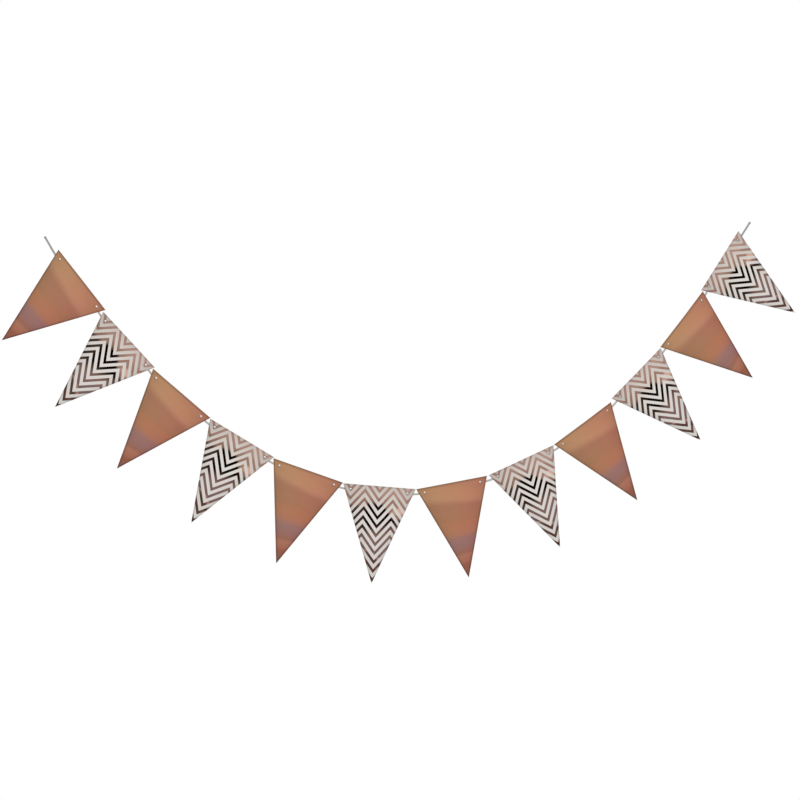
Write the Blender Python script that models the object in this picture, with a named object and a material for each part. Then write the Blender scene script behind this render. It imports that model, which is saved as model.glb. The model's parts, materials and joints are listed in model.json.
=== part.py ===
"""Paper bunting: twelve triangular card pennants hung along one cord, in metres at real size.

Frame: +X runs along the swag from left to right, +Z is up and the printed faces look along -Y.
The origin is the left end of the cord, where a hook or a nail would hold it.

The cord hangs in a catenary. Each pennant is a rigid card whose two punched holes lie over the cord,
so its top edge follows the chord of the catenary between them, apart from the small slide, drop and
tilt that its row of the table gives. The cord runs behind every card and ends in two free tails.
"""

import math
from typing import NamedTuple

import bmesh
import bpy
from mathutils import Vector

# Cards
CARD_WIDTH = 0.152  # along the top edge, corner to corner
CARD_HEIGHT = 0.200  # from the top edge to the tip
CARD_THICKNESS = 0.001
HOLE_DIAMETER = 0.0045
HOLE_INSET = 0.0164  # from the corner to the hole's centre, along the top edge
HOLE_DEPTH = 0.0104  # from the top edge down to the hole's centre
HOLE_SIDES = 12
CARD_ROWS = 10
CARD_COLUMNS = 10

# Cord
CORD_DIAMETER = 0.0042
CORD_DEPTH = 0.012  # from the top edge down to the cord's centre line
CORD_GAP = 0.00035  # clearance between the cord and the backs of the cards
STEPS_BEHIND_CARD = 4
STEPS_IN_GAP = 2
STEPS_IN_TAIL = 3

# Swag
CATENARY = 0.574  # radius of the cord's curve at its lowest point
PITCH = 0.1556  # from card to card, along the cord
LOWEST_PLACE = 5.29  # where the lowest point falls, counting the cards from 0

LACE = CARD_WIDTH / 2 - HOLE_INSET  # from the middle of a card to either hole


class Hang(NamedTuple):
    """How one card hangs: millimetres and degrees."""

    slide: float  # along the cord, to the right
    drop: float  # square to the cord, downwards
    tilt: float  # extra turn of the card, anticlockwise as seen from the front
    lean: float  # turn about the cord that brings the tip forward
    bow: float  # how far the middle of the card stands forward of its corners
    curl: float  # how far the tip curls forward


HANGS = (
    Hang(slide=4.2, drop=0.5, tilt=3.0, lean=0.8, bow=1.6, curl=2.0),
    Hang(slide=1.6, drop=-0.5, tilt=2.0, lean=-0.6, bow=1.0, curl=3.0),
    Hang(slide=-1.2, drop=-0.5, tilt=1.0, lean=1.2, bow=1.4, curl=-1.0),
    Hang(slide=-2.0, drop=-2.0, tilt=0.6, lean=-0.4, bow=2.0, curl=2.5),
    Hang(slide=-3.0, drop=-1.0, tilt=-0.2, lean=0.5, bow=1.2, curl=1.0),
    Hang(slide=-3.0, drop=0.0, tilt=-0.4, lean=-0.9, bow=1.8, curl=2.0),
    Hang(slide=-2.6, drop=1.0, tilt=-0.6, lean=0.7, bow=1.0, curl=-1.5),
    Hang(slide=0.4, drop=2.5, tilt=-0.6, lean=0.2, bow=1.5, curl=3.0),
    Hang(slide=0.2, drop=4.0, tilt=-0.4, lean=1.0, bow=2.0, curl=1.0),
    Hang(slide=4.0, drop=0.5, tilt=-0.2, lean=-0.5, bow=1.2, curl=2.5),
    Hang(slide=2.6, drop=0.0, tilt=-0.2, lean=0.6, bow=1.6, curl=-0.5),
    Hang(slide=-0.4, drop=-3.5, tilt=-0.2, lean=-0.3, bow=1.1, curl=2.0),
)


class Tail(NamedTuple):
    """A free end of the cord: its length in metres and its slope in degrees."""

    length: float
    slope: float


LEFT_TAIL = Tail(length=0.054, slope=-59.0)
RIGHT_TAIL = Tail(length=0.048, slope=56.5)


class Place(NamedTuple):
    """Where a card sits: the middle of its lacing line, and its angle in the swag's plane."""

    middle: Vector
    angle: float


def in_plane(length, angle):
    """Vector of a length at an angle above +X, in the swag's plane."""
    return Vector((length * math.cos(angle), 0.0, length * math.sin(angle)))


def catenary_point(arc):
    """Point of the hanging cord at an arc length from its lowest point."""
    across = CATENARY * math.asinh(arc / CATENARY)
    up = math.hypot(CATENARY, arc) - CATENARY
    return Vector((across, 0.0, up))


def card_place(number, hang):
    """Place of a card: on the catenary's chord between its holes, moved by its own row."""
    arc = (number - LOWEST_PLACE) * PITCH
    left = catenary_point(arc - LACE)
    right = catenary_point(arc + LACE)
    chord = right - left
    chord_angle = math.atan2(chord.z, chord.x)
    shift = in_plane(hang.slide / 1000, chord_angle) - in_plane(hang.drop / 1000, chord_angle + math.pi / 2)
    return Place((left + right) / 2 + shift, chord_angle + math.radians(hang.tilt))


def lacing_points(place):
    """The two points where the cord passes a card's holes, left and right."""
    reach = in_plane(LACE, place.angle)
    return [place.middle - reach, place.middle + reach]


def smooth_span(before, start, end, after, steps):
    """Points of a centripetal Catmull-Rom span from start up to, but not including, end."""
    knots = [0.0]
    for near, far in ((before, start), (start, end), (end, after)):
        knots.append(knots[-1] + math.sqrt((far - near).length))

    def blend(near, far, near_knot, far_knot, knot):
        return near.lerp(far, (knot - near_knot) / (far_knot - near_knot))

    points = []
    for step in range(steps):
        knot = knots[1] + (knots[2] - knots[1]) * step / steps
        first = blend(before, start, knots[0], knots[1], knot)
        second = blend(start, end, knots[1], knots[2], knot)
        third = blend(end, after, knots[2], knots[3], knot)
        lower = blend(first, second, knots[0], knots[2], knot)
        upper = blend(second, third, knots[1], knots[3], knot)
        points.append(blend(lower, upper, knots[1], knots[2], knot))
    return points


def cord_route(places):
    """Centre line of the cord: its left end, the lacing points of every card, and its right end."""
    laces = [point for place in places for point in lacing_points(place)]
    left_end = laces[0] - in_plane(LEFT_TAIL.length, math.radians(LEFT_TAIL.slope))
    right_end = laces[-1] + in_plane(RIGHT_TAIL.length, math.radians(RIGHT_TAIL.slope))
    stops = [left_end] + laces + [right_end]
    guides = [2 * stops[0] - stops[1]] + stops + [2 * stops[-1] - stops[-2]]
    route = []
    for index in range(len(stops) - 1):
        if index in (0, len(stops) - 2):
            steps = STEPS_IN_TAIL
        elif index % 2:
            steps = STEPS_BEHIND_CARD
        else:
            steps = STEPS_IN_GAP
        route += smooth_span(*guides[index : index + 4], steps)
    return route + [right_end]


def card_relief(across, down, hang):
    """How far the card stands forward at a point of its face, in metres."""
    side = min(abs(across) / LACE, 1.0)
    bulge = hang.bow * (1 - side**2) ** 2
    lift = hang.curl * (max(down - CORD_DEPTH, 0.0) / (CARD_HEIGHT - CORD_DEPTH)) ** 2
    return (bulge + lift) / 1000


def card_skin(mesh, hang, back):
    """Grid of one face of a card, tapering to the tip: rows of vertices, the last row a single one."""
    rows = []
    for row in range(CARD_ROWS + 1):
        down = CARD_HEIGHT * row / CARD_ROWS
        half = CARD_WIDTH / 2 * (1 - row / CARD_ROWS)
        columns = CARD_COLUMNS if row < CARD_ROWS else 0
        line = []
        for column in range(columns + 1):
            across = half * (2 * column / columns - 1) if columns else 0.0
            point = (across, back - card_relief(across, down, hang), CORD_DEPTH - down)
            line.append(mesh.verts.new(point))
        rows.append(line)
    return rows


def fill_skin(mesh, rows):
    """Faces of one grid of a card, with a fan of triangles at the tip."""
    for upper, lower in zip(rows[:-2], rows[1:-1]):
        for column in range(CARD_COLUMNS):
            mesh.faces.new((upper[column], upper[column + 1], lower[column + 1], lower[column]))
    tip = rows[-1][0]
    for near, far in zip(rows[-2][:-1], rows[-2][1:]):
        mesh.faces.new((near, far, tip))


def card_rim(rows):
    """Outline of a card's grid in order: along the top, down the right side and up the left side."""
    right_side = [line[-1] for line in rows[1:]]
    left_side = [line[0] for line in rows[1:-1]]
    return rows[0] + right_side + left_side[::-1]


def card_mesh(name, hang):
    """Closed triangular sheet of card, gently bowed, with the cord's line along its X axis."""
    back = -(CORD_DIAMETER / 2 + CORD_GAP)
    mesh = bmesh.new()
    skins = [card_skin(mesh, hang, face) for face in (back, back - CARD_THICKNESS)]
    for rows in skins:
        fill_skin(mesh, rows)
    back_rim, front_rim = (card_rim(rows) for rows in skins)
    for near in range(len(back_rim)):
        far = (near + 1) % len(back_rim)
        mesh.faces.new((back_rim[near], back_rim[far], front_rim[far], front_rim[near]))
    bmesh.ops.recalc_face_normals(mesh, faces=mesh.faces)
    data = bpy.data.meshes.new(name)
    mesh.to_mesh(data)
    mesh.free()
    data.shade_smooth()
    data.set_sharp_from_angle(angle=math.radians(30))
    return data


def punch_mesh():
    """Cutter for the two holes of a card, in the card's own axes."""
    mesh = bmesh.new()
    for side in (-1, 1):
        rod = bmesh.ops.create_cone(
            mesh,
            cap_ends=True,
            segments=HOLE_SIDES,
            radius1=HOLE_DIAMETER / 2,
            radius2=HOLE_DIAMETER / 2,
            depth=CARD_WIDTH / 8,
        )
        for vertex in rod["verts"]:
            x, y, z = vertex.co
            vertex.co = (x + side * LACE, -z, y + CORD_DEPTH - HOLE_DEPTH)
    data = bpy.data.meshes.new("punch")
    mesh.to_mesh(data)
    mesh.free()
    return data


def finish(name, color, roughness, metallic=0.0):
    """Principled material of one finish."""
    material = bpy.data.materials.new(name)
    material.use_nodes = True
    shader = material.node_tree.nodes["Principled BSDF"]
    shader.inputs["Base Color"].default_value = (*color, 1.0)
    shader.inputs["Roughness"].default_value = roughness
    shader.inputs["Metallic"].default_value = metallic
    return material


def add_object(name, data, material=None):
    """Put a mesh or a curve in the scene under a name, with its material."""
    if material:
        data.materials.append(material)
    item = bpy.data.objects.new(name, data)
    bpy.context.collection.objects.link(item)
    return item


def add_card(number, hang, place, start, punch, material):
    """One pennant at its place on the cord, with its holes cut."""
    name = f"pennant_{number + 1:02d}"
    card = add_object(name, card_mesh(name, hang), material)
    cutter = add_object(f"punch_{number + 1:02d}", punch)
    cutter.hide_render = True
    cutter.display_type = "WIRE"
    for item in (card, cutter):
        item.location = place.middle - start
        item.rotation_euler = (-math.radians(hang.lean), -place.angle, 0.0)
    holes = card.modifiers.new("holes", "BOOLEAN")
    holes.operation = "DIFFERENCE"
    holes.object = cutter


def add_cord(route, start, material):
    """The cord as a filled tube along its centre line."""
    data = bpy.data.curves.new("cord", "CURVE")
    data.dimensions = "3D"
    data.bevel_depth = CORD_DIAMETER / 2
    data.bevel_resolution = 2
    data.use_fill_caps = True
    spline = data.splines.new("POLY")
    spline.points.add(len(route) - 1)
    for spot, point in zip(spline.points, route):
        spot.co = (*(point - start), 1.0)
    add_object("cord", data, material)


def main():
    """Clear the scene and build the bunting."""
    for item in list(bpy.data.objects):
        bpy.data.objects.remove(item)
    plain = finish("rose gold foil card", (0.46, 0.23, 0.13), 0.38, metallic=0.75)
    striped = finish("pale card with foil chevrons", (0.52, 0.47, 0.44), 0.55)
    twine = finish("grey cotton cord", (0.34, 0.34, 0.32), 0.9)
    places = [card_place(number, hang) for number, hang in enumerate(HANGS)]
    route = cord_route(places)
    start = route[0].copy()
    punch = punch_mesh()
    for number, (hang, place) in enumerate(zip(HANGS, places)):
        add_card(number, hang, place, start, punch, striped if number % 2 else plain)
    add_cord(route, start, twine)


main()
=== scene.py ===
"""Paper bunting: the finish of its twelve card pennants and of its cord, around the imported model.

Lengths are in metres unless a name ends in _mm, and the axes are the model's: +X along the swag,
+Z up, printed faces towards -Y, and the origin at the left end of the cord.
"""

import json
import logging
import math
from collections.abc import Mapping, Sequence
from dataclasses import dataclass
from enum import Enum
from typing import Any, NamedTuple

import bpy
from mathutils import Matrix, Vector


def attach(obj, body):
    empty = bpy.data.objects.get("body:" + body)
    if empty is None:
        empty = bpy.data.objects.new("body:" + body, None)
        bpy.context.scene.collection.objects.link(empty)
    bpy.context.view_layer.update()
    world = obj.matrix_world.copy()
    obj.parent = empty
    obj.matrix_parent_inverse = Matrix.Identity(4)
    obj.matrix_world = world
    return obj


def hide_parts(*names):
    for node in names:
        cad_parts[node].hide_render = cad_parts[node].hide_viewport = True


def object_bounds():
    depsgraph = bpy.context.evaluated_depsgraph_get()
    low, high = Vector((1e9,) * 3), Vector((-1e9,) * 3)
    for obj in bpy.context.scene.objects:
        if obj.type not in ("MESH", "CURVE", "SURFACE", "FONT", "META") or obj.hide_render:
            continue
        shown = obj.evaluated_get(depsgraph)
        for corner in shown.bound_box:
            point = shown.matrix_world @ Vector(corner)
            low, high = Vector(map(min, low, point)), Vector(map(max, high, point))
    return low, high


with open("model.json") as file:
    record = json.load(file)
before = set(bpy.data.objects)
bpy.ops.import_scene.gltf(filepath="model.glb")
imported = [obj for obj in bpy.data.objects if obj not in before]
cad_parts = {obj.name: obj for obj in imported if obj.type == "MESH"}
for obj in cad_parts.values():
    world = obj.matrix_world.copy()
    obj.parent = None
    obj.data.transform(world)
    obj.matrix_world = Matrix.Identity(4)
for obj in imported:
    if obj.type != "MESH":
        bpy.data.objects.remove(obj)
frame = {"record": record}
CAD_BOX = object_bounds()

Socket = bpy.types.NodeSocket

BODY = "root"
PRINT_MAP = "print"  # the cards' UV map: the whole triangle's width and height are 1
ALONG = "along"  # metres from the cord's left end, on its mesh
SLIP = "slip"  # millimetres, on a card's mesh: how far below its usual place it is printed
AROUND = "around"  # direction out of a ply's own axis, on the cord's mesh
MILLIMETRES = 1000.0
MERGE_DISTANCE = 1e-6  # points of a mesh nearer than this are one

log = logging.getLogger("bunting")


# Node trees


class Shade(NamedTuple):
    """A colour as a screen shows it, each part from 0 to 255."""

    red: int
    green: int
    blue: int

    def linear(self, light: float = 1.0) -> tuple[float, float, float, float]:
        """Work out the finish that shows this colour.

        Args:
            light: how bright the light on the finish is, with 1 for a full white.

        Returns:
            Linear red, green and blue, none above 1, and an alpha of 1.
        """
        parts = (part / 255 for part in self)
        curve = (part / 12.92 if part <= 0.04045 else ((part + 0.055) / 1.055) ** 2.4 for part in parts)
        red, green, blue = (min(part / light, 1.0) for part in curve)
        return (red, green, blue, 1.0)


class Stop(NamedTuple):
    """One colour of a ramp and its place on it, from 0 to 1."""

    place: float
    color: tuple[float, float, float, float]


class Tree:
    """A node tree under construction. Every node in it comes from the method node."""

    def __init__(self, tree: bpy.types.NodeTree) -> None:
        """Take a tree and empty it."""
        self.tree = tree
        tree.nodes.clear()

    def node(
        self,
        kind: str,
        settings: Mapping[str, Any] | None = None,
        values: Mapping[str | int, Any] | None = None,
    ) -> bpy.types.Node:
        """Add one node.

        Args:
            kind: the node's type.
            settings: its own properties, set before its sockets; "stops" are the colours of a ramp.
            values: for each input, by name or number, a plain value, a socket, a Value, or a list
                of sockets for an input that takes several.

        Returns:
            The node.
        """
        node = self.tree.nodes.new(kind)
        for name, setting in (settings or {}).items():
            if name == "stops":
                self._fill_ramp(node.color_ramp, setting)
            else:
                setattr(node, name, setting)
        for key, value in (values or {}).items():
            for source in value if isinstance(value, list) else [value]:
                self._feed(node.inputs[key], source)
        return node

    def _feed(self, socket: Socket, source: Any) -> None:
        """Link a source to a socket, or set the socket to a plain value.

        Args:
            socket: the input to feed.
            source: an output, a Value or a plain value.
        """
        source = source.socket if isinstance(source, Value) else source
        if isinstance(source, Socket):
            self.tree.links.new(source, socket)
        else:
            socket.default_value = source

    @staticmethod
    def _fill_ramp(ramp: bpy.types.ColorRamp, stops: Sequence[Stop]) -> None:
        """Give a ramp its colours, with soft steps between them.

        Args:
            ramp: the ramp, which starts with two colours.
            stops: its own colours, in order.
        """
        ramp.interpolation = "EASE"
        for _ in stops[2:]:
            ramp.elements.new(1.0)
        for element, stop in zip(ramp.elements, stops):
            element.position = stop.place
            element.color = stop.color

    def value(self, kind: str, output: str | int = 0, **parts: Mapping) -> "Value":
        """Add a node and keep one of its outputs as a Value."""
        return Value(self, self.node(kind, **parts).outputs[output])

    def mix(self, factor: Any, first: Any, second: Any, blend: str = "MIX") -> Socket:
        """Blend two colours or their sockets: factor is the second's share, and blend how it is laid over."""
        settings = {"data_type": "RGBA", "blend_type": blend}
        return self.node("ShaderNodeMix", settings, {0: factor, 6: first, 7: second}).outputs[2]

    def vector(self, *parts: Any) -> Socket:
        """Join three numbers or Values into a vector."""
        return self.node("ShaderNodeCombineXYZ", values=dict(enumerate(parts))).outputs[0]

    def split(self, vector: Socket) -> list["Value"]:
        """Take a vector apart into its three Values."""
        node = self.node("ShaderNodeSeparateXYZ", values={0: vector})
        return [Value(self, output) for output in node.outputs]


class Value:
    """A number that varies from place to place, as a node's output, with Python's own arithmetic."""

    def __init__(self, tree: Tree, socket: Socket) -> None:
        """Wrap a node's output."""
        self.tree = tree
        self.socket = socket

    def math(self, operation: str, *terms: Any) -> "Value":
        """Result of a Math node, whose inputs are the terms in order."""
        settings = {"operation": operation}
        return self.tree.value("ShaderNodeMath", settings=settings, values=dict(enumerate(terms)))

    def __add__(self, other: Any) -> "Value":
        """Sum."""
        return self.math("ADD", self, other)

    __radd__ = __add__

    def __sub__(self, other: Any) -> "Value":
        """Difference."""
        return self.math("SUBTRACT", self, other)

    def __rsub__(self, other: Any) -> "Value":
        """Difference from a number."""
        return self.math("SUBTRACT", other, self)

    def __mul__(self, other: Any) -> "Value":
        """Product."""
        return self.math("MULTIPLY", self, other)

    __rmul__ = __mul__

    def __truediv__(self, other: Any) -> "Value":
        """Quotient."""
        return self.math("DIVIDE", self, other)

    def __pow__(self, other: float) -> "Value":
        """Power."""
        return self.math("POWER", self, other)

    def __abs__(self) -> "Value":
        """Size without the sign."""
        return self.math("ABSOLUTE", self)

    def least(self, other: Any) -> "Value":
        """The smaller of two."""
        return self.math("MINIMUM", self, other)

    def most(self, other: Any) -> "Value":
        """The larger of two."""
        return self.math("MAXIMUM", self, other)

    def fold(self, length: float) -> "Value":
        """Rise from 0 to a length and fall back to 0, again and again."""
        return self.math("PINGPONG", self, length)

    def sine(self) -> "Value":
        """Sine of an angle."""
        return self.math("SINE", self)

    def cosine(self) -> "Value":
        """Cosine of an angle."""
        return self.math("COSINE", self)

    def below(self, other: Any) -> "Value":
        """1 where this is smaller than the other, and 0 elsewhere."""
        return self.math("LESS_THAN", self, other)

    def rise(self, low: Any, high: Any) -> "Value":
        """Climb smoothly between two levels, or fall where the second is the lower one.

        Args:
            low: where the result is 0.
            high: where it is 1.

        Returns:
            A share from 0 to 1.
        """
        settings = {"interpolation_type": "SMOOTHSTEP"}
        values = {"Value": self, "From Min": low, "From Max": high}
        return self.tree.value("ShaderNodeMapRange", settings=settings, values=values)


class Speckle(NamedTuple):
    """A random pattern: its patches for each unit of the coordinates, and how many finer layers it has."""

    scale: float
    detail: float = 2.0


class Finish(Tree):
    """A material under construction, with the patterns that several finishes share."""

    def __init__(self, name: str) -> None:
        """Start an empty material.

        Args:
            name: the material's name.
        """
        self.material = bpy.data.materials.new(name)
        self.material.use_nodes = True
        super().__init__(self.material.node_tree)
        self.place = self.node("ShaderNodeTexCoord").outputs["Object"]

    def noise(self, speckle: Speckle, vector: Socket | None = None) -> Value:
        """Soft random values from -1 to 1, over the object's own coordinates unless others are given."""
        values = {"Vector": vector or self.place, "Scale": speckle.scale, "Detail": speckle.detail}
        return (self.value("ShaderNodeTexNoise", "Fac", values=values) - 0.5) * 2

    def brighten(self, color: Socket, amount: Value) -> Socket:
        """Multiply a colour by a Value."""
        values = {0: color, "Scale": amount}
        return self.node("ShaderNodeVectorMath", {"operation": "SCALE"}, values).outputs[0]

    def relief(self, height: Value, depth_mm: float) -> Socket:
        """Surface direction of a fine relief whose height goes from 0 to 1."""
        values = {"Height": height, "Distance": depth_mm / MILLIMETRES}
        return self.node("ShaderNodeBump", values=values).outputs["Normal"]

    def surface(self, **values: Any) -> bpy.types.Material:
        """Close the material with a Principled shader.

        Args:
            values: its inputs, with an underscore for each space in a name.

        Returns:
            The material.
        """
        inputs = {name.replace("_", " "): value for name, value in values.items()}
        shader = self.node("ShaderNodeBsdfPrincipled", values=inputs)
        self.node("ShaderNodeOutputMaterial", values={"Surface": shader.outputs[0]})
        return self.material


class Recipe(Tree):
    """A Geometry Nodes tree with named inputs."""

    def __init__(self, name: str) -> None:
        """Start an empty recipe.

        Args:
            name: the tree's name.
        """
        super().__init__(bpy.data.node_groups.new(name, "GeometryNodeTree"))
        self.tree.interface.new_socket("Mesh", in_out="OUTPUT", socket_type="NodeSocketGeometry")
        self.identifiers: dict[str, str] = {}

    def declare(self, **kinds: str) -> None:
        """Add the recipe's inputs.

        Args:
            kinds: for each kind of input, the names of those that have it, with commas between them.
        """
        for kind, names in kinds.items():
            for name in names.split(", "):
                socket = self.tree.interface.new_socket(name, in_out="INPUT", socket_type=f"NodeSocket{kind}")
                self.identifiers[name] = socket.identifier
        self.inputs = self.node("NodeGroupInput").outputs

    def given(self, name: str) -> Value:
        """One of the inputs, as a Value."""
        return Value(self, self.inputs[name])

    def mesh(self, kind: str, source: Any = None, settings: Mapping | None = None, **values: Any) -> Socket:
        """Add a Geometry Nodes node and keep its first output.

        Args:
            kind: the node's type, without the prefix that they all share.
            source: what its first input takes, if anything.
            settings: its own properties.
            values: its other inputs, with an underscore for each space in a name.

        Returns:
            The output.
        """
        inputs: dict[str | int, Any] = {name.replace("_", " "): value for name, value in values.items()}
        if source is not None:
            inputs[0] = source
        return self.node(f"GeometryNode{kind}", settings, inputs).outputs[0]

    def store(self, mesh: Socket, name: str, value: Any, kind: str = "FLOAT", on: str = "POINT") -> Socket:
        """Keep a value on a mesh or a curve, as an attribute of a data type on its points or corners."""
        settings = {"data_type": kind, "domain": on}
        return self.mesh("StoreNamedAttribute", mesh, settings, Name=name, Value=value)

    def serve(self, mesh: Socket) -> None:
        """End the recipe with its result."""
        self.node("NodeGroupOutput", values={"Mesh": mesh})

    def grow(self, name: str, values: Mapping, base: bpy.types.Mesh | None = None) -> bpy.types.Object:
        """Run the recipe and keep what it makes as a plain mesh.

        Args:
            name: the piece's name.
            values: the inputs, by name.
            base: the mesh that the recipe starts from, if it needs one.

        Returns:
            The piece, with no modifier on it.
        """
        base = base or bpy.data.meshes.new(f"{name}_base")
        piece = bpy.data.objects.new(name, base)
        bpy.context.scene.collection.objects.link(piece)
        modifier = piece.modifiers.new("recipe", "NODES")
        modifier.node_group = self.tree
        for label, value in values.items():
            modifier[self.identifiers[label]] = value
        graph = bpy.context.evaluated_depsgraph_get()
        result = bpy.data.meshes.new_from_object(
            piece.evaluated_get(graph), preserve_all_data_layers=True, depsgraph=graph
        )
        piece.modifiers.remove(modifier)
        piece.data = result
        result.name = name
        bpy.data.meshes.remove(base)
        return piece


# The swag's own shape


@dataclass(frozen=True)
class Hang:
    """How one card hangs."""

    slide_mm: float  # along the cord, to the right
    drop_mm: float  # square to the cord, downwards
    tilt: float  # degrees of extra turn, anticlockwise as seen from the front
    lean: float  # degrees of turn about the cord that bring the tip forward
    bow_mm: float  # how far the middle of the card stands forward of its corners
    curl_mm: float  # how far the tip curls forward
    slip_mm: float = 0.0  # how far below its usual place the card is printed


HANGS = (
    Hang(4.2, 0.5, 3.0, lean=0.8, bow_mm=1.6, curl_mm=2.0),
    Hang(1.6, -0.5, 2.0, lean=-0.6, bow_mm=1.0, curl_mm=3.0, slip_mm=1.8),
    Hang(-1.2, -0.5, 1.0, lean=1.2, bow_mm=1.4, curl_mm=-1.0),
    Hang(-2.0, -2.0, 0.6, lean=-0.4, bow_mm=2.0, curl_mm=2.5, slip_mm=1.0),
    Hang(-3.0, -1.0, -0.2, lean=0.5, bow_mm=1.2, curl_mm=1.0),
    Hang(-3.0, 0.0, -0.4, lean=-0.9, bow_mm=1.8, curl_mm=2.0, slip_mm=-0.1),
    Hang(-2.6, 1.0, -0.6, lean=0.7, bow_mm=1.0, curl_mm=-1.5),
    Hang(0.4, 2.5, -0.6, lean=0.2, bow_mm=1.5, curl_mm=3.0, slip_mm=-0.9),
    Hang(0.2, 4.0, -0.4, lean=1.0, bow_mm=2.0, curl_mm=1.0),
    Hang(4.0, 0.5, -0.2, lean=-0.5, bow_mm=1.2, curl_mm=2.5, slip_mm=-0.8),
    Hang(2.6, 0.0, -0.2, lean=0.6, bow_mm=1.6, curl_mm=-0.5),
    Hang(-0.4, -3.5, -0.2, lean=-0.3, bow_mm=1.1, curl_mm=2.0, slip_mm=-2.1),
)


@dataclass(frozen=True)
class Tail:
    """A free end of the cord."""

    length: float
    slope: float  # degrees above +X


@dataclass(frozen=True)
class Place:
    """Where a card hangs: the middle of the line between its holes, and its angle in the swag's plane."""

    middle: Vector
    angle: float


@dataclass(frozen=True)
class CardCut:
    """The blank that every pennant is cut and punched from."""

    width: float = 0.152
    height: float = 0.200
    thickness: float = 0.0005
    hole_diameter: float = 0.0045
    hole_inset: float = 0.0164  # from the corner to the hole's centre, along the top edge
    hole_depth: float = 0.0104  # from the top edge down to the hole's centre

    @property
    def lace(self) -> float:
        """From the middle of the card to either hole."""
        return self.width / 2 - self.hole_inset

    @property
    def area(self) -> float:
        """Flat area of the blank."""
        return self.width * self.height / 2


@dataclass(frozen=True)
class Swag:
    """The line that the cord hangs in, and the cards' places on it."""

    cut: CardCut
    hangs: tuple[Hang, ...] = HANGS
    catenary: float = 0.574  # radius of the cord's curve at its lowest point
    pitch: float = 0.1556  # from card to card, along the cord
    lowest_place: float = 5.29  # where the lowest point falls, counting the cards from 0
    left_tail: Tail = Tail(length=0.054, slope=-59.0)
    right_tail: Tail = Tail(length=0.048, slope=56.5)
    cord_diameter: float = 0.0042
    cord_depth: float = 0.012  # from a card's top edge down to the cord's centre line
    cord_gap: float = 0.00035  # between the cord and the back of a card
    steps_behind_card: int = 4
    steps_in_gap: int = 2
    steps_in_tail: int = 3

    @staticmethod
    def in_plane(length: float, angle: float) -> Vector:
        """A length at an angle above +X, in the swag's plane."""
        return Vector((length * math.cos(angle), 0.0, length * math.sin(angle)))

    def catenary_point(self, arc: float) -> Vector:
        """The hanging cord's point at an arc length from its lowest one."""
        across = self.catenary * math.asinh(arc / self.catenary)
        return Vector((across, 0.0, math.hypot(self.catenary, arc) - self.catenary))

    def _hung(self, number: int, hang: Hang) -> Place:
        """Place of a card, measured from the cord's lowest point.

        Args:
            number: the card's number, from 0.
            hang: how it hangs.

        Returns:
            Its place on the chord between its holes.
        """
        arc = (number - self.lowest_place) * self.pitch
        left = self.catenary_point(arc - self.cut.lace)
        right = self.catenary_point(arc + self.cut.lace)
        chord = right - left
        angle = math.atan2(chord.z, chord.x)
        slide = self.in_plane(hang.slide_mm / MILLIMETRES, angle)
        drop = self.in_plane(hang.drop_mm / MILLIMETRES, angle + math.pi / 2)
        return Place((left + right) / 2 + slide - drop, angle + math.radians(hang.tilt))

    def _laces(self, place: Place) -> list[Vector]:
        """Where the cord passes a card's left and right hole."""
        reach = self.in_plane(self.cut.lace, place.angle)
        return [place.middle - reach, place.middle + reach]

    def _row(self) -> list[Place]:
        """Every card's place, from the cord's lowest point."""
        return [self._hung(number, hang) for number, hang in enumerate(self.hangs)]

    def _stops(self) -> list[Vector]:
        """Find the points that the cord passes, measured from its lowest one.

        Returns:
            Its left end, its points at every hole, and its right end.
        """
        laces = [point for place in self._row() for point in self._laces(place)]
        left = laces[0] - self.in_plane(self.left_tail.length, math.radians(self.left_tail.slope))
        right = laces[-1] + self.in_plane(self.right_tail.length, math.radians(self.right_tail.slope))
        return [left, *laces, right]

    def places(self) -> list[Place]:
        """Every card's place in the model's axes."""
        start = self._stops()[0]
        return [Place(place.middle - start, place.angle) for place in self._row()]

    def route(self) -> list[Vector]:
        """Lay the cord's centre line.

        Returns:
            Its points, from the left end at the origin to the right end.
        """
        stops = self._stops()
        guides = [2 * stops[0] - stops[1], *stops, 2 * stops[-1] - stops[-2]]
        points: list[Vector] = []
        for index in range(len(stops) - 1):
            if index in (0, len(stops) - 2):
                steps = self.steps_in_tail
            elif index % 2:
                steps = self.steps_behind_card
            else:
                steps = self.steps_in_gap
            points += smooth_span(guides[index : index + 4], steps)
        return [point - stops[0] for point in [*points, stops[-1]]]


def smooth_span(guides: Sequence[Vector], steps: int) -> list[Vector]:
    """One span of a centripetal Catmull-Rom curve.

    Args:
        guides: the point before the span, its start, its end and the point after it.
        steps: how many points it gets.

    Returns:
        The points from the start up to, but not including, the end.
    """
    before, start, end, after = guides
    knots = [0.0]
    for near, far in ((before, start), (start, end), (end, after)):
        knots.append(knots[-1] + math.sqrt((far - near).length))

    def blend(near: Vector, far: Vector, first: int, last: int, knot: float) -> Vector:
        """Point between two others, by its place between two knots."""
        return near.lerp(far, (knot - knots[first]) / (knots[last] - knots[first]))

    points = []
    for step in range(steps):
        knot = knots[1] + (knots[2] - knots[1]) * step / steps
        first, second = blend(before, start, 0, 1, knot), blend(start, end, 1, 2, knot)
        third = blend(end, after, 2, 3, knot)
        lower, upper = blend(first, second, 0, 2, knot), blend(second, third, 1, 3, knot)
        points.append(blend(lower, upper, 1, 2, knot))
    return points


# Finishes


class Band(NamedTuple):
    """One soft band of colour, as painted light and shade: how far down the card it lies, and its colour."""

    down_mm: float
    shade: Shade


class PaintedEdgeShade(NamedTuple):
    """Painted shade next to an edge: how far it reaches, and how strong it is at the edge."""

    reach_mm: float
    strength: float

    def keep(self, distance: Value) -> Value:
        """The share of the colour that the painted shade leaves at a distance from the edge."""
        return 1 - distance.rise(self.reach_mm, 0.0) * self.strength


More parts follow.
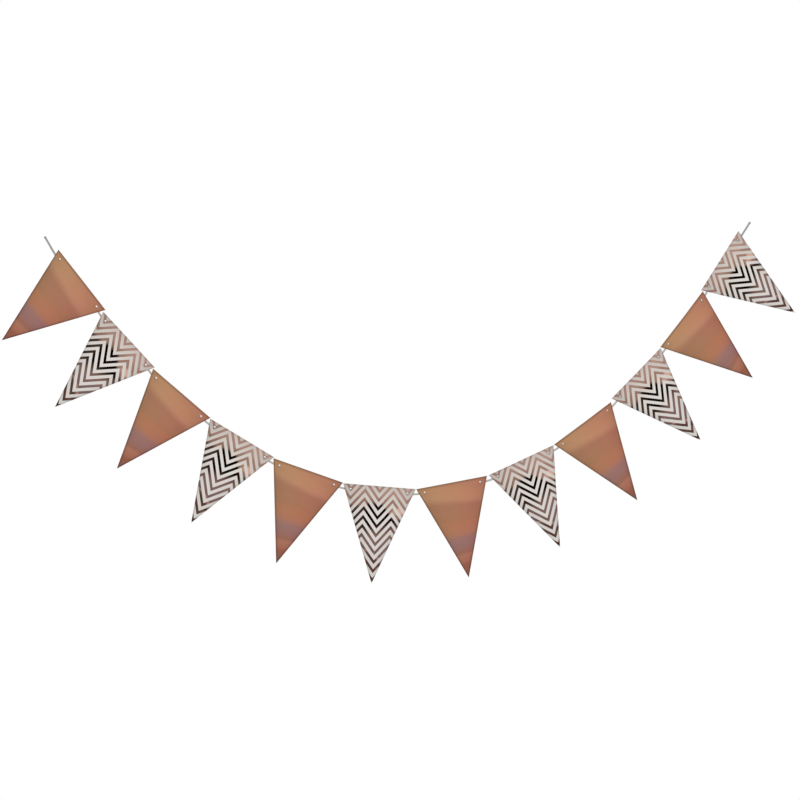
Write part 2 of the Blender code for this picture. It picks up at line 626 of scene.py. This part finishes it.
class CardPattern(Finish):
    """A card's finish under construction, with its coordinates in millimetres."""

    PAINTED_SIDE_SHADE_POWER = 3  # how late the painted shade begins towards a side edge
    TOP_REACH = 1.3  # how much further the rim's painted shade reaches from the top edge than from a side edge

    def __init__(self, name: str, cut: CardCut) -> None:
        """Start a finish and find where each point lies on the card.

        Args:
            name: the material's name.
            cut: the card that it covers.
        """
        super().__init__(name)
        self.cut = cut
        uv = self.split(self.node("ShaderNodeUVMap", {"uv_map": PRINT_MAP}).outputs["UV"])
        self.across = (uv[0] - 0.5) * (cut.width * MILLIMETRES)
        self.down = (1 - uv[1]) * (cut.height * MILLIMETRES)

    def shading(self, painted_side_shade: float, rim: PaintedEdgeShade, painted_hole_shade: PaintedEdgeShade) -> Value:
        """How much of the colour the painted shade leaves on the face, which darkens outwards.

        Args:
            painted_side_shade: the share of the colour that painted shade takes from the middle line to the
                side edges.
            rim: the painted shade next to the cut edges.
            painted_hole_shade: the painted shade round the holes.

        Returns:
            The share that is left.
        """
        half, height = self.cut.width / 2, self.cut.height
        room = (height * MILLIMETRES - self.down) * (half / height)
        from_side = (room - abs(self.across)) * (height / math.hypot(half, height))
        sideways = abs(self.across) - self.cut.lace * MILLIMETRES
        lengthways = self.down - self.cut.hole_depth * MILLIMETRES
        from_hole = (sideways**2 + lengthways**2) ** 0.5 - self.cut.hole_diameter / 2 * MILLIMETRES
        kept = 1 - (abs(self.across) / room) ** self.PAINTED_SIDE_SHADE_POWER * painted_side_shade
        return kept * rim.keep((self.down / self.TOP_REACH).least(from_side)) * painted_hole_shade.keep(from_hole)

    def banded(self, level: Value, bands: Sequence[Band], light: float) -> Socket:
        """Soft bands of colour across the card, which paint light and shade.

        Args:
            level: which band each point falls in, in millimetres down the card.
            bands: the bands, from the top edge to the tip.
            light: how bright the light on the finish is.

        Returns:
            The colour.
        """
        height_mm = self.cut.height * MILLIMETRES
        stops = [Stop(band.down_mm / height_mm, band.shade.linear(light)) for band in bands]
        return self.node("ShaderNodeValToRGB", {"stops": stops}, {"Fac": level / height_mm}).outputs[0]


@dataclass(frozen=True)
class RoseGoldFoil:
    """Satin rose-gold foil laid over the whole card, with soft bands of painted reflection across it."""

    # painted reflection: the foil's colour from band to band stands in for what it mirrors
    bands: tuple[Band, ...] = (
        Band(0, Shade(178, 129, 100)),
        Band(20, Shade(184, 133, 101)),
        Band(32, Shade(185, 134, 104)),
        Band(50, Shade(167, 116, 92)),
        Band(74, Shade(167, 117, 90)),
        Band(87, Shade(173, 117, 89)),
        Band(102, Shade(173, 117, 91)),
        Band(122, Shade(152, 112, 105)),
        Band(134, Shade(150, 109, 102)),
        Band(146, Shade(151, 104, 87)),
        Band(153, Shade(167, 112, 93)),
        Band(162, Shade(163, 108, 88)),
        Band(174, Shade(147, 92, 73)),
        Band(200, Shade(124, 89, 78)),
    )
    # painted reflection: golden towards the left hole and redder towards the right one
    left_reflection_tint: Shade = Shade(243, 255, 250)
    right_reflection_tint: Shade = Shade(247, 236, 244)
    top_slant: float = 0.22  # slant of the painted reflection's bands at the top edge, falling to the right
    slant_loss: float = 0.0022  # how much of it is lost with each millimetre down
    painted_side_shade: float = 0.18  # painted shade towards the side edges
    # painted shade along the cut edges, and round the holes below
    rim: PaintedEdgeShade = PaintedEdgeShade(4.8, 0.42)
    painted_hole_shade: PaintedEdgeShade = PaintedEdgeShade(3.0, 0.18)
    streaks: Speckle = Speckle(0.11)  # soft ones across the card, for each millimetre of its height
    lines: Speckle = Speckle(0.35, 0.0)  # finer ones
    drawn_out: float = 12.0  # how many times longer than high both are
    streak_tone: float = 0.03
    line_tone: float = 0.03
    smudges: Speckle = Speckle(35.0)
    grain: Speckle = Speckle(900.0, 3.0)
    grain_mm: float = 0.012
    roughness: float = 0.4
    smudge_roughness: float = 0.05
    light: float = 0.78  # light that the foil mirrors

    def material(self, cut: CardCut) -> bpy.types.Material:
        """Make the finish.

        Args:
            cut: the card that it covers.

        Returns:
            The material.
        """
        card = CardPattern("rose gold foil", cut)
        # painted reflection: bands of colour down the card, slanting to the right
        slant = self.top_slant - card.down * self.slant_loss
        color = card.banded(card.down - slant * card.across, self.bands, self.light)
        # painted reflection, tinted from the left hole to the right one
        side = card.across.rise(-cut.lace * MILLIMETRES, cut.lace * MILLIMETRES)
        reflection_tint = card.mix(side, self.left_reflection_tint.linear(), self.right_reflection_tint.linear())
        color = card.mix(1.0, color, reflection_tint, "MULTIPLY")
        drawn = card.vector(card.across / self.drawn_out, card.down, 0.0)
        streaks = card.noise(self.streaks, drawn) * self.streak_tone
        streaks = streaks + card.noise(self.lines, drawn) * self.line_tone
        # painted shade towards the edges and round the holes, multiplied into the colour
        shading = card.shading(self.painted_side_shade, self.rim, self.painted_hole_shade)
        smudges = card.noise(self.smudges)
        grain = card.noise(self.grain) * 0.5 + 0.5
        return card.surface(
            Base_Color=card.brighten(color, (1 + streaks) * shading),
            Metallic=1.0,
            Roughness=self.roughness + smudges * self.smudge_roughness + streaks,
            Normal=card.relief(grain, self.grain_mm),
        )


class Shoulder(NamedTuple):
    """A side of the painted dark reflection where its upper edge sinks, in millimetres."""

    start: float
    end: float
    drop: float

    def sink(self, across: Value) -> Value:
        """How far the upper edge has sunk."""
        return across.rise(self.start, self.end) * self.drop


class PaintedHighlight(NamedTuple):
    """A painted highlight, bright and soft-edged, on the foil: its middle and its half width and height, in
    millimetres.
    """

    across: float
    down: float
    half_width: float
    half_height: float

    def cover(self, card: CardPattern) -> Value:
        """Work out how far the patch covers each point.

        Args:
            card: the finish that the patch lies in.

        Returns:
            The cover, from 0 to 1.
        """
        sideways = (card.across - self.across) / self.half_width
        lengthways = (card.down - self.down) / self.half_height
        return (sideways**2 + lengthways**2).rise(1.0, 0.0)


@dataclass(frozen=True)
class ChevronPrint:
    """Pale matt paper with painted shade, hot-foiled with narrow rose-gold chevrons painted with dark and
    bright reflections.
    """

    # pale paper with painted shade: darker towards the top edge and towards the tip
    paper: tuple[Band, ...] = (
        Band(0, Shade(197, 186, 179)),
        Band(30, Shade(206, 199, 192)),
        Band(60, Shade(216, 211, 205)),
        Band(110, Shade(212, 207, 202)),
        Band(180, Shade(205, 201, 196)),
    )
    # painted reflection: the foil's colour from band to band stands in for what it mirrors
    foil: tuple[Band, ...] = (
        Band(20, Shade(160, 129, 117)),
        Band(31, Shade(144, 112, 99)),
        Band(100, Shade(126, 97, 89)),
        Band(119, Shade(120, 95, 93)),
        Band(136, Shade(112, 87, 83)),
        Band(141, Shade(158, 124, 114)),
        Band(148, Shade(98, 74, 70)),
        Band(153, Shade(78, 53, 46)),
        Band(162, Shade(106, 81, 73)),
        Band(172, Shade(84, 58, 49)),
        Band(190, Shade(78, 50, 42)),
        Band(200, Shade(52, 38, 34)),
    )
    right_reflection_gain: float = 0.005  # painted reflection: brightening of the foil with each millimetre to the right of the middle
    tip_slant: float = 0.8  # slant of the foil's bands near the tip, falling to the right
    tip_slant_start: float = 120.0
    tip_slant_end: float = 142.0
    # painted reflection of dark things on the foil, and the shape of its patch below
    painted_dark_reflection: Shade = Shade(14, 5, 3)
    dark_top: float = 35.0  # upper edge of the painted dark reflection, down the middle
    dark_edge: float = 5.0  # half the softness of that edge
    dark_left: Shoulder = Shoulder(-16.0, -36.0, 8.0)
    dark_right: Shoulder = Shoulder(3.0, 39.0, 32.0)
    dark_foot: tuple[float, float] = (76.0, 107.0)  # where the painted dark reflection fades out again
    dark_foot_slant: float = 0.22
    dark_thinning: Shoulder = Shoulder(-20.0, -36.0, 0.2)
    # painted highlight on the foil, and its patch
    painted_highlight: Shade = Shade(214, 173, 156)
    painted_highlight_patch: PaintedHighlight = PaintedHighlight(46.0, 50.0, 18.0, 10.0)
    first_stripe: float = 10.8  # from the top edge down to the valley of the first stripe
    stripe_pitch: float = 18.25
    zigzag: float = 36.85  # height of the zigzag
    zigzag_half: float = 29.66  # half the width of one zigzag
    zigzag_shift: float = 0.6  # how far its middle lies to the right
    spare_stripes: int = 2  # whole pitches added to a level, which keep it above 0
    foil_share: float = 0.455
    print_edge: float = 0.15  # softness of the printed edge
    painted_side_shade: float = 0.17  # painted shade towards the side edges
    # painted shade along the cut edges, and round the holes below
    rim: PaintedEdgeShade = PaintedEdgeShade(4.0, 0.2)
    painted_hole_shade: PaintedEdgeShade = PaintedEdgeShade(5.5, 0.18)
    light: float = 0.83  # light that the foil mirrors
    paper_light: float = 0.95  # light that falls on the paper
    fibres: Speckle = Speckle(700.0, 4.0)
    fibre_tone: float = 0.03
    fibre_roughness: float = 0.04
    fibre_share: float = 0.3  # of the relief's depth, which the foil's thickness fills
    relief_mm: float = 0.02
    paper_roughness: float = 0.72
    foil_smoothness: float = 0.36  # how much smoother the foil is

    def _stripes(self, card: CardPattern) -> Value:
        """Lay out the printed chevrons.

        Args:
            card: the finish under construction.

        Returns:
            1 on foil and 0 on paper.
        """
        fold = abs(card.across - self.zigzag_shift).fold(self.zigzag_half)
        slip = card.value("ShaderNodeAttribute", "Fac", settings={"attribute_name": SLIP})
        level = card.down - slip + fold * (self.zigzag / self.zigzag_half) - self.first_stripe
        level = level + self.stripe_pitch * (self.spare_stripes + 0.5)
        from_middle = abs(level.math("MODULO", level, self.stripe_pitch) - self.stripe_pitch / 2)
        half = self.stripe_pitch * self.foil_share / 2
        return from_middle.rise(half + self.print_edge / 2, half - self.print_edge / 2)

    def _foil_color(self, card: CardPattern) -> Socket:
        """Colour the foil, with painted reflections of dark and bright things.

        Args:
            card: the finish under construction.

        Returns:
            The colour.
        """
        slant = card.down.rise(self.tip_slant_start, self.tip_slant_end) * self.tip_slant
        color = card.banded(card.down - slant * card.across, self.foil, self.light)
        color = card.brighten(color, card.across.most(0.0) * self.right_reflection_gain + 1)
        top = self.dark_left.sink(card.across) + self.dark_right.sink(card.across) + self.dark_top
        foot = card.down + card.across * self.dark_foot_slant
        dark_reflection_cover = card.down.rise(top - self.dark_edge, top + self.dark_edge)
        dark_reflection_cover = dark_reflection_cover * (1 - foot.rise(*self.dark_foot)) * (1 - self.dark_thinning.sink(card.across))
        color = card.mix(dark_reflection_cover, color, self.painted_dark_reflection.linear(self.light))
        return card.mix(self.painted_highlight_patch.cover(card), color, self.painted_highlight.linear(self.light))

    def material(self, cut: CardCut) -> bpy.types.Material:
        """Make the finish.

        Args:
            cut: the card that it covers.

        Returns:
            The material.
        """
        card = CardPattern("chevron print", cut)
        stripes = self._stripes(card)
        fibres = card.noise(self.fibres)
        # pale paper, with painted shade from the top edge to the tip
        paper = card.banded(card.down, self.paper, self.paper_light)
        paper = card.brighten(paper, 1 + fibres * self.fibre_tone)
        color = card.mix(stripes, paper, self._foil_color(card))
        return card.surface(
            # painted shade towards the edges and round the holes
            Base_Color=card.brighten(color, card.shading(self.painted_side_shade, self.rim, self.painted_hole_shade)),
            Metallic=stripes,
            Roughness=self.paper_roughness - stripes * self.foil_smoothness + fibres * self.fibre_roughness,
            Normal=card.relief((fibres + 1) * (1 - stripes) * self.fibre_share + stripes, self.relief_mm),
        )


@dataclass(frozen=True)
class PlainCard:
    """Unprinted pale card, as on the backs and in the cut edges."""

    name: str
    shade: Shade
    light: float = 0.95
    dark_fibre_light: float = 1.026  # the light that works out the colour of the darker fibres
    fibres: Speckle = Speckle(700.0, 4.0)
    clouds: Speckle = Speckle(45.0)
    cloud_tone: float = 0.02
    cloud_roughness: float = 0.05
    roughness: float = 0.8
    relief_mm: float = 0.02

    def material(self) -> bpy.types.Material:
        """Make the finish.

        Returns:
            The material.
        """
        card = Finish(self.name)
        fibres, clouds = (card.noise(self.fibres) + 1) / 2, card.noise(self.clouds)
        color = card.mix(fibres, self.shade.linear(self.light), self.shade.linear(self.dark_fibre_light))
        return card.surface(
            Base_Color=card.brighten(color, 1 + clouds * self.cloud_tone),
            Roughness=self.roughness + clouds * self.cloud_roughness,
            Normal=card.relief(fibres, self.relief_mm),
        )


@dataclass(frozen=True)
class GreyCotton:
    """Light grey twisted cord: darker at its free ends, and with the fine lines of its yarns, with painted
    shade in their grooves.
    """

    shade: Shade = Shade(189, 186, 181)
    tail_shade: Shade = Shade(162, 163, 157)
    tail_fade: float = 0.03  # how far the tails' darker grey fades out
    tip: float = 0.005  # length of the darker cut end
    yarns: int = 6  # lines round one ply
    yarn_lay: float = 0.0034  # length of a yarn's own turn
    painted_groove_shade: float = 0.9  # share of the colour left in the grooves between the yarns, as painted shade
    fuzz: Speckle = Speckle(1400.0, 3.0)
    fuzz_tone: float = 0.06
    fuzz_share: float = 0.3  # of the relief's depth
    relief_mm: float = 0.05
    roughness: float = 0.88
    tip_loss: float = 0.14  # how much darker the cut end is
    light: float = 0.95

    def material(self, length: float, swag: Swag) -> bpy.types.Material:
        """Make the finish.

        Args:
            length: the cord's length.
            swag: the line that it hangs in.

        Returns:
            The material.
        """
        cord = Finish("grey cotton cord")
        along = cord.value("ShaderNodeAttribute", "Fac", settings={"attribute_name": ALONG})
        around = cord.split(cord.node("ShaderNodeAttribute", {"attribute_name": AROUND}).outputs["Vector"])
        left = along.rise(swag.left_tail.length + self.tail_fade, swag.left_tail.length)
        right = along.rise(length - swag.right_tail.length - self.tail_fade, length - swag.right_tail.length)
        color = cord.mix(left.most(right), self.shade.linear(self.light), self.tail_shade.linear(self.light))
        turn = around[1].math("ARCTAN2", around[1], around[0])
        lines = (turn * self.yarns + along * (math.tau / self.yarn_lay)).sine() * 0.5 + 0.5
        fuzz = cord.noise(self.fuzz)
        end = along.least(length - along).rise(self.tip, 0.0)
        # painted shade in the grooves between the yarns
        tone = (self.painted_groove_shade + lines * (1 - self.painted_groove_shade) + fuzz * self.fuzz_tone) * (1 - end * self.tip_loss)
        return cord.surface(
            Base_Color=cord.brighten(color, tone),
            Roughness=self.roughness + fuzz * self.fuzz_tone,
            Normal=cord.relief(lines * (1 - self.fuzz_share) + (fuzz + 1) * self.fuzz_share, self.relief_mm),
        )


@dataclass(frozen=True)
class PaleFloor:
    """Even pale floor, a little uneven in tone."""

    shade: Shade = Shade(246, 245, 243)
    patches: Speckle = Speckle(0.8)
    dark_patch_light: float = 1.03  # the light that works out the colour of the darker patches
    roughness: float = 0.9

    def material(self) -> bpy.types.Material:
        """Make the finish.

        Returns:
            The material.
        """
        floor = Finish("pale floor")
        tone = (floor.noise(self.patches) + 1) / 2
        color = floor.mix(tone, self.shade.linear(), self.shade.linear(self.dark_patch_light))
        return floor.surface(Base_Color=color, Roughness=self.roughness)


# Pieces


class Face(Enum):
    """What a card is faced with, by the name of its material slot in the record."""

    FOIL = "foil_card"
    CHEVRON = "chevron_card"


class CardRecipe(Recipe):
    """Cuts, punches, bows and hangs one card."""

    HOLE_SIDES = 32
    PUNCH_LENGTH = 8  # length of the rod that cuts a hole, in thicknesses of the card
    SQUARE_ON = 0.5  # how much of a face's normal has to lie along Y on the front and the back

    def __init__(self) -> None:
        """Build the tree."""
        super().__init__("pennant card")
        self.declare(
            Float="Width, Height, Thickness, Lace, Hole Depth, Hole Diameter, "
            "Bow, Curl, Cord Depth, Back, Slip",
            Int="Columns, Rows",
            Vector="Turn, Place",
            Material="Front Finish, Back Finish, Edge Finish",
        )
        self.serve(self._dressed(self._hung(self._bowed(self._mapped(self._punched(self._slab()))))))

    def _slab(self) -> Socket:
        """Cut the blank: a triangle of the card's thickness, its front towards -Y, its top edge at Z 0.

        Returns:
            The blank, flat and without holes.
        """
        columns, rows = self.inputs["Columns"], self.inputs["Rows"]
        grid = self.mesh("MeshGrid", Size_X=2.0, Size_Y=1.0, Vertices_X=columns, Vertices_Y=rows)
        x, y, _ = self.split(self.mesh("InputPosition"))
        across = x * (y + 0.5) * self.given("Width") / 2
        place = self.vector(across, 0.0, (y - 0.5) * self.given("Height"))
        sheet = self.mesh("SetPosition", grid, Position=place)
        sheet = self.mesh("MergeByDistance", sheet, Distance=MERGE_DISTANCE)
        back = self.mesh("FlipFaces", sheet)
        outward, thickness = (0.0, -1.0, 0.0), self.inputs["Thickness"]
        front = self.mesh("ExtrudeMesh", sheet, Offset=outward, Offset_Scale=thickness, Individual=False)
        both = self.mesh("JoinGeometry", [back, front])
        return self.mesh("MergeByDistance", both, Distance=MERGE_DISTANCE)

    def _punched(self, slab: Socket) -> Socket:
        """Punch the two round holes.

        Args:
            slab: the blank.

        Returns:
            The blank with its holes.
        """
        radius, length = self.given("Hole Diameter") / 2, self.given("Thickness") * self.PUNCH_LENGTH
        rod = self.mesh("MeshCylinder", Vertices=self.HOLE_SIDES, Radius=radius, Depth=length)
        rods = []
        for side in (-1, 1):
            spot = self.vector(self.given("Lace") * side, 0.0, self.given("Hole Depth") * -1)
            rods.append(self.mesh("Transform", rod, Translation=spot, Rotation=(math.pi / 2, 0.0, 0.0)))
        return self.mesh("MeshBoolean", slab, {"operation": "DIFFERENCE", "solver": "EXACT"}, Mesh_2=rods)

    def _mapped(self, mesh: Socket) -> Socket:
        """Give the card the UV map and the slip that its print follows.

        Args:
            mesh: the flat card.

        Returns:
            The card with both.
        """
        x, _, z = self.split(self.mesh("InputPosition"))
        uv = self.vector(x / self.given("Width") + 0.5, z / self.given("Height") + 1, 0.0)
        mesh = self.store(mesh, PRINT_MAP, uv, "FLOAT2", "CORNER")
        return self.store(mesh, SLIP, self.inputs["Slip"])

    def _bowed(self, mesh: Socket) -> Socket:
        """Bow and curl the card, at its distance in front of the cord's line, which runs along X.

        Args:
            mesh: the flat card.

        Returns:
            The bowed card.
        """
        x, _, z = self.split(self.mesh("InputPosition"))
        cord_depth = self.given("Cord Depth")
        side = (abs(x) / self.given("Lace")).least(1.0)
        bulge = self.given("Bow") * (1 - side**2) ** 2
        hanging = (z * -1 - cord_depth).most(0.0) / (self.given("Height") - cord_depth)
        lift = self.given("Curl") * hanging**2
        offset = self.vector(0.0, self.given("Back") - bulge - lift, cord_depth)
        return self.mesh("SetPosition", mesh, Offset=offset)

    def _hung(self, mesh: Socket) -> Socket:
        """The card at its place on the swag."""
        return self.mesh("Transform", mesh, Translation=self.inputs["Place"], Rotation=self.inputs["Turn"])

    def _dressed(self, mesh: Socket) -> Socket:
        """Give the front, the back and the cut edges their finishes.

        Args:
            mesh: the hung card.

        Returns:
            The dressed card.
        """
        mesh = self.mesh("RealizeInstances", mesh)
        facing = self.split(self.mesh("InputNormal"))[1]
        for finish, selection in (
            ("Edge Finish", True),
            ("Front Finish", facing.below(-self.SQUARE_ON)),
            ("Back Finish", (facing * -1).below(-self.SQUARE_ON)),
        ):
            mesh = self.mesh("SetMaterial", mesh, Selection=selection, Material=self.inputs[finish])
        return mesh


@dataclass(frozen=True)
class Pennants:
    """The row of card pennants."""

    cut: CardCut
    swag: Swag
    columns: int = 25
    rows: int = 33
    crease_angle: float = 30.0  # degrees past which an edge stays crisp

    def _dress(self, piece: bpy.types.Object, node: str) -> None:
        """Hang a pennant under the body and hide the part that it stands for.

        Args:
            piece: the pennant.
            node: the node that it stands for.
        """
        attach(piece, BODY)
        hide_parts(node)

    def build(self) -> list[bpy.types.Object]:
        """Make every pennant.

        Returns:
            The pennants, from left to right.
        """
        recipe = CardRecipe()
        rows = (row for row in frame["record"]["subparts"] if row["node"] != "cord")
        faces = {row["node"]: Face(row["material_slot"]) for row in rows}
        foil = RoseGoldFoil().material(self.cut)
        fronts = {Face.FOIL: foil, Face.CHEVRON: ChevronPrint().material(self.cut)}
        back = PlainCard("plain card back", Shade(214, 209, 203)).material()
        edge = PlainCard("cut card edge", Shade(190, 176, 164)).material()
        pennants = []
        for (node, face), hang, place in zip(sorted(faces.items()), self.swag.hangs, self.swag.places()):
            values = {
                "Width": self.cut.width,
                "Height": self.cut.height,
                "Thickness": self.cut.thickness,
                "Lace": self.cut.lace,
                "Hole Depth": self.cut.hole_depth,
                "Hole Diameter": self.cut.hole_diameter,
                "Columns": self.columns,
                "Rows": self.rows,
                "Bow": hang.bow_mm / MILLIMETRES,
                "Curl": hang.curl_mm / MILLIMETRES,
                "Cord Depth": self.swag.cord_depth,
                "Back": -(self.swag.cord_diameter / 2 + self.swag.cord_gap),
                "Slip": hang.slip_mm,
                "Turn": (-math.radians(hang.lean), -place.angle, 0.0),
                "Place": place.middle,
                "Front Finish": fronts[face],
                "Back Finish": back,
                "Edge Finish": edge,
            }
            piece = recipe.grow(f"{face.value}_{node[-2:]}", values)
            piece.data.shade_smooth()
            piece.data.set_sharp_from_angle(angle=math.radians(self.crease_angle))
            self._dress(piece, node)
            pennants.append(piece)
        return pennants


class CordRecipe(Recipe):
    """Twists plies along a line."""

    CUT_SHARE = 0.55  # how wide a ply is at its cut end, as a share of its full width

    def __init__(self) -> None:
        """Build the tree."""
        super().__init__("twisted cord")
        self.declare(
            Geometry="Route",
            Float="Lay, Step, Cut Length, Splay Length, Splay, Ply Radius",
            Int="Plies, Ply Sides",
            Material="Finish",
        )
        line, along, end = self._line()
        plies = self._plies(line, along, end)
        scale = self.CUT_SHARE + end.rise(0.0, self.given("Cut Length")) * (1 - self.CUT_SHARE)
        mesh = self.mesh("CurveToMesh", plies, Profile_Curve=self._profile(), Fill_Caps=True, Scale=scale)
        mesh = self.mesh("RealizeInstances", mesh)
        self.serve(self.mesh("SetMaterial", mesh, Material=self.inputs["Finish"]))

    def _line(self) -> tuple[Socket, Value, Value]:
        """The cord's smooth centre line.

        Returns:
            The line, the length along it, and the distance to its nearer end.
        """
        line = self.mesh("MeshToCurve", self.inputs["Route"])
        line = self.mesh("CurveSplineType", line, {"spline_type": "CATMULL_ROM"})
        line = self.mesh("ResampleCurve", line, {"mode": "LENGTH"}, Length=self.inputs["Step"])
        along = self.value("GeometryNodeSplineParameter", "Length")
        length = self.value("GeometryNodeCurveLength", values={"Curve": line})
        line = self.store(line, ALONG, along)
        kept = Value(self, self.mesh("InputNamedAttribute", settings={"data_type": "FLOAT"}, Name=ALONG))
        return line, kept, kept.least(length - kept)

    def _plies(self, line: Socket, along: Value, end: Value) -> Socket:
        """Wind the plies round the cord's own line and splay them at its ends.

        Args:
            line: the cord's own line.
            along: the length along it.
            end: the distance to its nearer end.

        Returns:
            The centre lines of the plies.
        """
        values = {"Geometry": line, "Amount": self.inputs["Plies"]}
        copies = self.node("GeometryNodeDuplicateElements", {"domain": "SPLINE"}, values)
        share = Value(self, copies.outputs["Duplicate Index"]) / self.given("Plies")
        turn = (along / self.given("Lay") + share) * math.tau
        parting = self.given("Splay") * end.rise(self.inputs["Splay Length"], 0.0)
        reach = self.given("Ply Radius") * (1 + parting)
        values = {0: self.mesh("InputTangent"), 1: (0.0, 1.0, 0.0)}
        out = self.split(self.node("ShaderNodeVectorMath", {"operation": "CROSS_PRODUCT"}, values).outputs[0])
        sideways, forward = turn.sine() * reach, turn.cosine() * reach
        offset = self.vector(out[0] * sideways, forward, out[2] * sideways)
        return self.mesh("SetPosition", copies.outputs["Geometry"], Offset=offset)

    def _profile(self) -> Socket:
        """Draw the round section of one ply, which knows its own outward direction.

        Returns:
            The section.
        """
        sides, radius = self.inputs["Ply Sides"], self.inputs["Ply Radius"]
        circle = self.mesh("CurvePrimitiveCircle", Resolution=sides, Radius=radius)
        position = self.mesh("InputPosition")
        outward = self.node("ShaderNodeVectorMath", {"operation": "NORMALIZE"}, {0: position}).outputs[0]
        return self.store(circle, AROUND, outward, "FLOAT_VECTOR")


@dataclass(frozen=True)
class Cord:
    """The twisted cord that the pennants hang on."""

    swag: Swag
    lay: float = 0.0105  # length of one full turn of the plies
    plies: int = 3
    ply_share: float = 0.27  # a ply's radius, and its distance from the cord's line, in cord diameters
    ply_sides: int = 10
    step: float = 0.0009  # between the rings of its mesh
    cut_length: float = 0.001  # how far back the cut squeezes a ply
    splay_length: float = 0.006  # how far back the plies part at the cut ends
    splay: float = 0.3

    def build(self) -> bpy.types.Object:
        """Make the cord.

        Returns:
            The cord.
        """
        route = self.swag.route()
        length = sum((far - near).length for near, far in zip(route, route[1:]))
        line = bpy.data.meshes.new("route")
        line.from_pydata(route, [(index, index + 1) for index in range(len(route) - 1)], [])
        values = {
            "Lay": self.lay,
            "Plies": self.plies,
            "Ply Sides": self.ply_sides,
            "Step": self.step,
            "Cut Length": self.cut_length,
            "Splay Length": self.splay_length,
            "Splay": self.splay,
            "Ply Radius": self.swag.cord_diameter * self.ply_share,
            "Finish": GreyCotton().material(length, self.swag),
        }
        piece = CordRecipe().grow("twisted_cord", values, line)
        piece.data.shade_smooth()
        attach(piece, BODY)
        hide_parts("cord")
        return piece


# Studio


@dataclass(frozen=True)
class SoftBox:
    """A square soft light."""

    name: str
    place: tuple[float, float, float]
    side: float
    power: float

    def build(self, aim: Vector) -> None:
        """Hang the light.

        Args:
            aim: the point that it is turned to.
        """
        lamp = bpy.data.lights.new(self.name, "AREA")
        lamp.energy, lamp.size = self.power, self.side
        holder = bpy.data.objects.new(self.name, lamp)
        holder.location = self.place
        holder.rotation_euler = (aim - Vector(self.place)).to_track_quat("-Z", "Y").to_euler()
        bpy.context.scene.collection.objects.link(holder)


@dataclass(frozen=True)
class Studio:
    """Camera, light and floor."""

    camera_place: tuple[float, float, float] = (-0.0163, -4.05, -0.38)
    pan: float = 10.338  # degrees to the right of +Y
    tilt: float = 0.762  # degrees above level
    lens: float = 89.8
    room: Shade = Shade(237, 237, 237)
    backdrop: Shade = Shade(255, 255, 255)
    floor_level: float = -2.2
    floor_radius: float = 3.6
    floor_sides: int = 96
    lights: tuple[SoftBox, ...] = (
        SoftBox("key light", (-4.4, -3.0, 3.2), 3.5, 70.0),
        SoftBox("fill light", (6.2, -2.6, 2.0), 3.5, 55.0),
        SoftBox("rear light", (0.8, 4.5, 2.8), 3.5, 60.0),
    )

    def _set_camera(self) -> None:
        """Place the camera and make it the scene's."""
        camera = bpy.data.objects.new("camera", bpy.data.cameras.new("camera"))
        camera.data.lens = self.lens
        camera.location = self.camera_place
        camera.rotation_euler = (math.radians(90 + self.tilt), 0.0, -math.radians(self.pan))
        bpy.context.scene.collection.objects.link(camera)
        bpy.context.scene.camera = camera

    def _set_world(self) -> None:
        """Even light from all round, in front of a white backdrop."""
        world = bpy.data.worlds.new("studio")
        world.use_nodes = True
        tree = Tree(world.node_tree)
        seen = tree.node("ShaderNodeLightPath").outputs["Is Camera Ray"]
        color = tree.mix(seen, self.room.linear(), self.backdrop.linear())
        background = tree.node("ShaderNodeBackground", values={"Color": color})
        tree.node("ShaderNodeOutputWorld", values={"Surface": background.outputs[0]})
        bpy.context.scene.world = world
        bpy.context.scene.view_settings.view_transform = "Standard"

    def _lay_floor(self, centre: Vector) -> None:
        """Lay a round floor.

        Args:
            centre: the point that it lies under.
        """
        radius, level = self.floor_radius, self.floor_level
        turns = (math.tau * side / self.floor_sides for side in range(self.floor_sides))
        rim = [(centre.x + radius * math.cos(turn), radius * math.sin(turn), level) for turn in turns]
        mesh = bpy.data.meshes.new("floor")
        mesh.from_pydata(rim, [], [tuple(range(self.floor_sides))])
        mesh.materials.append(PaleFloor().material())
        floor = bpy.data.objects.new("floor", mesh)
        bpy.context.scene.collection.objects.link(floor)

    def build(self) -> None:
        """Set the studio up round the object."""
        centre = (CAD_BOX[0] + CAD_BOX[1]) / 2
        self._set_camera()
        self._set_world()
        self._lay_floor(centre)
        for light in self.lights:
            light.build(centre)


def main() -> None:
    """Build the studio, the cord and the pennants."""
    logging.basicConfig(level=logging.INFO, format="%(name)s: %(message)s")
    cut = CardCut()
    swag = Swag(cut)
    Studio().build()
    for piece in (Cord(swag).build(), *Pennants(cut, swag).build()):
        log.info("%s has %d faces", piece.name, len(piece.data.polygons))


if __name__ == "__main__":
    main()
